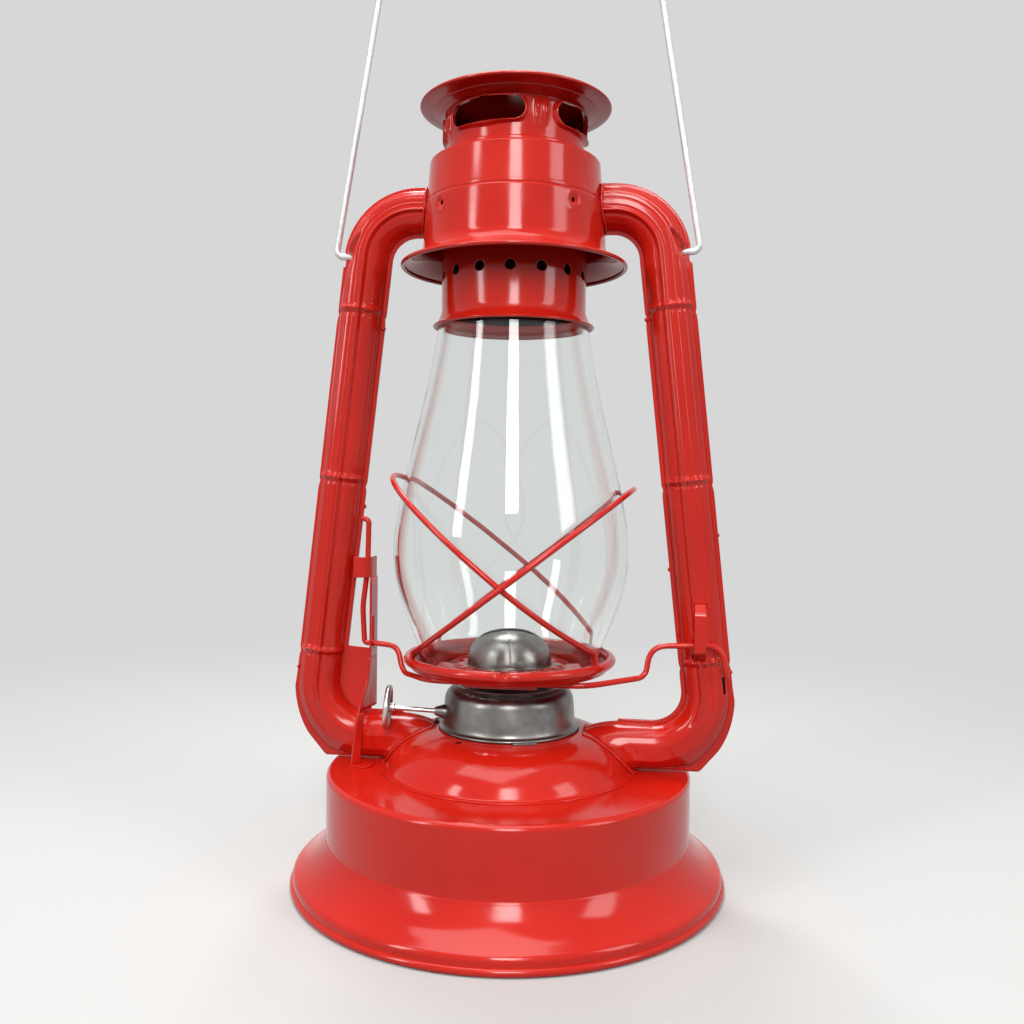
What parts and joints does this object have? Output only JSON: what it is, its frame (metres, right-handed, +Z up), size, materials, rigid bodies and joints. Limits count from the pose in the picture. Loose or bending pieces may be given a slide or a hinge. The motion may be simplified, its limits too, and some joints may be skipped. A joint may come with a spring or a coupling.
{
  "type": "hurricane lantern",
  "caption": "Tubular hurricane lantern with fuel tank, side air tubes, lifting glass globe, flat-wick burner, hood, crown and swinging wire bail.",
  "frame": {"origin": "centre of the foot rim, on the floor", "axes": "+Z up along the lantern's axis, -Y towards the front, +X towards the tube that carries the wire keeper"},
  "size_m": [0.1916, 0.187, 0.4509],
  "materials": {
    "enamel": "glossy red enamel",
    "burner_tin": "satin tinned steel with a light patina",
    "bright_steel": "bright",
    "galvanised": "galvanised wire",
    "cotton": "woven flat wick",
    "rubber": "matt",
    "glass": "clear blown glass"
  },
  "bodies": {
    "frame": {"tank_body": "enamel", "tank_bottom": "enamel", "air_dome": "enamel", "fuel_collar": "burner_tin", "filler_neck": "enamel", "left_tube_front": "enamel", "left_tube_back": "enamel", "right_tube_front": "enamel", "right_tube_back": "enamel", "hood_lower": "enamel", "hood_upper": "enamel", "wire_keeper": "enamel", "lift_guide": "enamel", "burner_drum": "burner_tin", "air_strainer": "burner_tin", "wick_tube": "burner_tin", "shaft_bush": "burner_tin"},
    "carriage": {"globe": "glass", "globe_plate": "enamel", "plate_clip": "enamel", "burner_cone": "burner_tin", "guard_wire_left": "enamel", "guard_wire_right": "enamel", "lift_wire": "enamel"},
    "crown": {"chimney_sleeve": "enamel", "crown_neck": "enamel", "crown_cap": "enamel"},
    "wick_drive": {"wick_shaft": "bright_steel", "spur_wheels": "bright_steel", "wick_knob": "bright_steel"},
    "wick": {"wick": "cotton"},
    "bail": {"bail": "galvanised"},
    "filler_gasket": {"filler_gasket": "rubber"},
    "filler_cap": {"filler_cap": "enamel"}
  },
  "joints": [
    {"name": "globe_lift", "type": "slide", "parent": "frame", "child": "carriage", "axis": [0, 0, 1], "range_m": [0, 0.01]},
    {"name": "crown_lift", "type": "slide", "parent": "carriage", "child": "crown", "axis": [0, 0, 1], "range_m": [0, 0.02]},
    {"name": "wick_knob_turn", "type": "hinge", "parent": "frame", "child": "wick_drive", "pos_m": [0.0008, -0.00569, 0.0704], "axis": [0.9879, 0.1388, -0.0698], "range_deg": [-120, 180]},
    {"name": "wick_raise", "type": "slide", "parent": "frame", "child": "wick", "axis": [0, 0, 1], "range_m": [-0.0089, 0.0133]},
    {"name": "bail_swing", "type": "hinge", "parent": "frame", "child": "bail", "pos_m": [0, 0, 0.2695], "axis": [1, 0, 0], "range_deg": [-150, 150]},
    {"name": "filler_rise", "type": "slide", "parent": "frame", "child": "filler_gasket", "axis": [0, 0, 1], "range_m": [0, 0.0041]},
    {"name": "filler_cap_turn", "type": "hinge", "parent": "filler_gasket", "child": "filler_cap", "pos_m": [0, 0.066, 0.0563], "axis": [0, 0, 1], "range_deg": [0, 720]}
  ],
  "couplings": [
    {"joint": "wick_raise", "follows": "wick_knob_turn", "m_per_rad": 0.00419},
    {"joint": "filler_rise", "follows": "filler_cap_turn", "m_per_rad": 0.000318}
  ]
}
